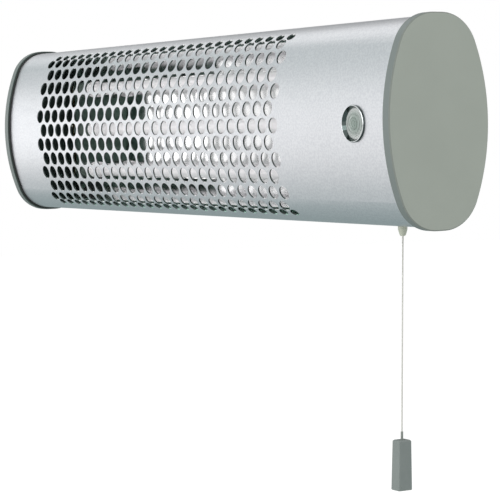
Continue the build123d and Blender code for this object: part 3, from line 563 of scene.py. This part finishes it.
def add_world():
    """A pale studio: white behind, brighter overhead and level than between, and a dark card."""
    world = bpy.data.worlds.new("studio")
    bpy.context.scene.world = world
    world.use_nodes = True
    tree = world.node_tree
    tree.nodes.clear()
    output = tree.nodes.new("ShaderNodeOutputWorld")
    direction = tree.nodes.new("ShaderNodeTexCoord").outputs["Generated"]
    split = tree.nodes.new("ShaderNodeSeparateXYZ")
    tree.links.new(direction, split.inputs[0])
    mirrored = background(tree, 1.0)
    tree.links.new(shades(tree, split.outputs["Z"], STUDIO_SHADES), mirrored.inputs["Color"])
    tree.links.new(dark_card(tree, direction), mirrored.inputs["Strength"])
    lit = mixed(
        tree,
        shown_to(tree, "Is Glossy Ray"),
        background(tree, WORLD_STRENGTH).outputs[0],
        mirrored.outputs[0],
    )
    seen = shown_to(tree, "Is Camera Ray", "Is Transmission Ray")
    tree.links.new(mixed(tree, seen, lit, background(tree, 1.0).outputs[0]), output.inputs["Surface"])


def seen_floor(tree):
    """The floor as the camera and glass see it: white, with a faint shadow below the heater."""
    white = tree.nodes.new("ShaderNodeEmission")
    white.inputs["Color"].default_value = WHITE
    white.inputs["Strength"].default_value = FLOOR_GLOW
    matt = tree.nodes.new("ShaderNodeBsdfDiffuse")
    matt.inputs["Color"].default_value = (FLOOR_SHADOW, FLOOR_SHADOW, FLOOR_SHADOW, 1.0)
    both = tree.nodes.new("ShaderNodeAddShader")
    tree.links.new(white.outputs[0], both.inputs[0])
    tree.links.new(matt.outputs[0], both.inputs[1])
    return both.outputs[0]


def mirrored_floor(tree):
    """The floor as metal shows it: white in front of the heater, and darker towards its wall with a painted
    shadow.
    """
    split = tree.nodes.new("ShaderNodeSeparateXYZ")
    tree.links.new(tree.nodes.new("ShaderNodeTexCoord").outputs["Object"], split.inputs[0])
    behind = tree.nodes.new("ShaderNodeMapRange")
    behind.inputs["From Min"].default_value = FLOOR_FRONT_Y
    behind.inputs["From Max"].default_value = FLOOR_BACK_Y
    tree.links.new(split.outputs["Y"], behind.inputs["Value"])
    glow = tree.nodes.new("ShaderNodeEmission")
    # Painted shadow: the floor as metal shows it darkens towards the heater's wall.
    tree.links.new(shades(tree, behind.outputs[0], FLOOR_SHADES), glow.inputs["Color"])
    return glow.outputs[0]


def add_floor():
    """A pale floor that shows white to the camera, and in metal a painted shadow towards the heater's wall.
    """
    mesh = bpy.data.meshes.new("studio_floor")
    corners = [
        (-FLOOR_REACH, -FLOOR_REACH, FLOOR_Z),
        (FLOOR_REACH, -FLOOR_REACH, FLOOR_Z),
        (FLOOR_REACH, FLOOR_REACH, FLOOR_Z),
        (-FLOOR_REACH, FLOOR_REACH, FLOOR_Z),
    ]
    mesh.from_pydata(corners, [], [(0, 1, 2, 3)])
    floor = bpy.data.objects.new("studio_floor", mesh)
    bpy.context.collection.objects.link(floor)
    material = bpy.data.materials.new("studio_floor")
    material.use_nodes = True
    tree = material.node_tree
    plain = tree.nodes["Principled BSDF"]
    plain.inputs["Base Color"].default_value = FLOOR_COLOUR
    plain.inputs["Roughness"].default_value = 0.9
    surface = mixed(tree, shown_to(tree, "Is Glossy Ray"), plain.outputs[0], mirrored_floor(tree))
    seen = shown_to(tree, "Is Camera Ray", "Is Transmission Ray")
    surface = mixed(tree, seen, surface, seen_floor(tree))
    tree.links.new(surface, tree.nodes["Material Output"].inputs["Surface"])
    mesh.materials.append(material)


def add_lamp(name, place, target, size, power):
    """A soft square lamp that faces the target."""
    data = bpy.data.lights.new(name, "AREA")
    data.shape = "SQUARE"
    data.size = size
    data.energy = power
    lamp = bpy.data.objects.new(name, data)
    lamp.location = place
    lamp.rotation_euler = (Vector(target) - Vector(place)).to_track_quat("-Z", "Y").to_euler()
    bpy.context.collection.objects.link(lamp)


add_camera()
pull_cord = add_cord()
dress(pull_cord)
add_world()
add_floor()
for lamp_name, lamp_settings in LAMPS.items():
    add_lamp(lamp_name, *lamp_settings)

bpy.context.scene.view_settings.view_transform = "Standard"
bpy.context.view_layer.update()
